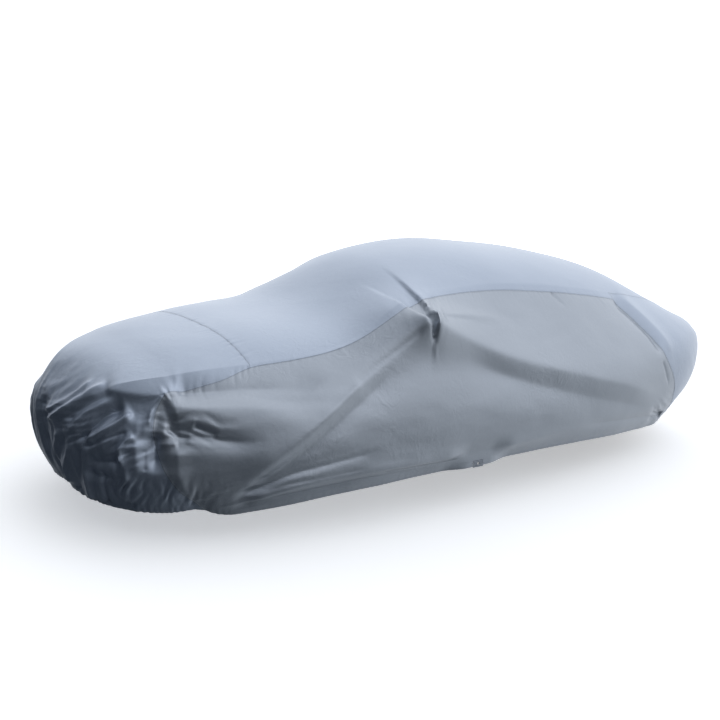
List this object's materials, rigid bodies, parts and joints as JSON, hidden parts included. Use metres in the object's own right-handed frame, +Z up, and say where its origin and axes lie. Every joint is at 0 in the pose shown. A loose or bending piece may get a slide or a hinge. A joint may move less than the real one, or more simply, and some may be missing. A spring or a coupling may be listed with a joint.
{
  "type": "fitted car cover",
  "caption": "Fitted full-length cover of thin silver-grey coated cloth, hollow and open below, draped as over a saloon car with door mirrors.",
  "frame": {"origin": "under the middle of the roof panel, where the car's roof holds the cover up", "axes": "X runs along the car from the front at -X to the rear at +X, Y runs across it with the car's left side at -Y, and Z is up"},
  "size_m": [4.9709, 2.0439, 1.2645],
  "materials": {
    "coated_cloth_top": "soft sheen",
    "coated_cloth_side": "soft sheen",
    "tab_cloth": "soft sheen",
    "eyelet_metal": "nickel plate"
  },
  "bodies": {
    "root": {"top_front": "coated_cloth_top", "top_main": "coated_cloth_top", "tail": "coated_cloth_top", "side_left": "coated_cloth_side", "side_right": "coated_cloth_side", "hem_tab_left": "tab_cloth", "hem_tab_right": "tab_cloth", "eyelet_left": "eyelet_metal", "eyelet_right": "eyelet_metal"}
  },
  "joints": []
}
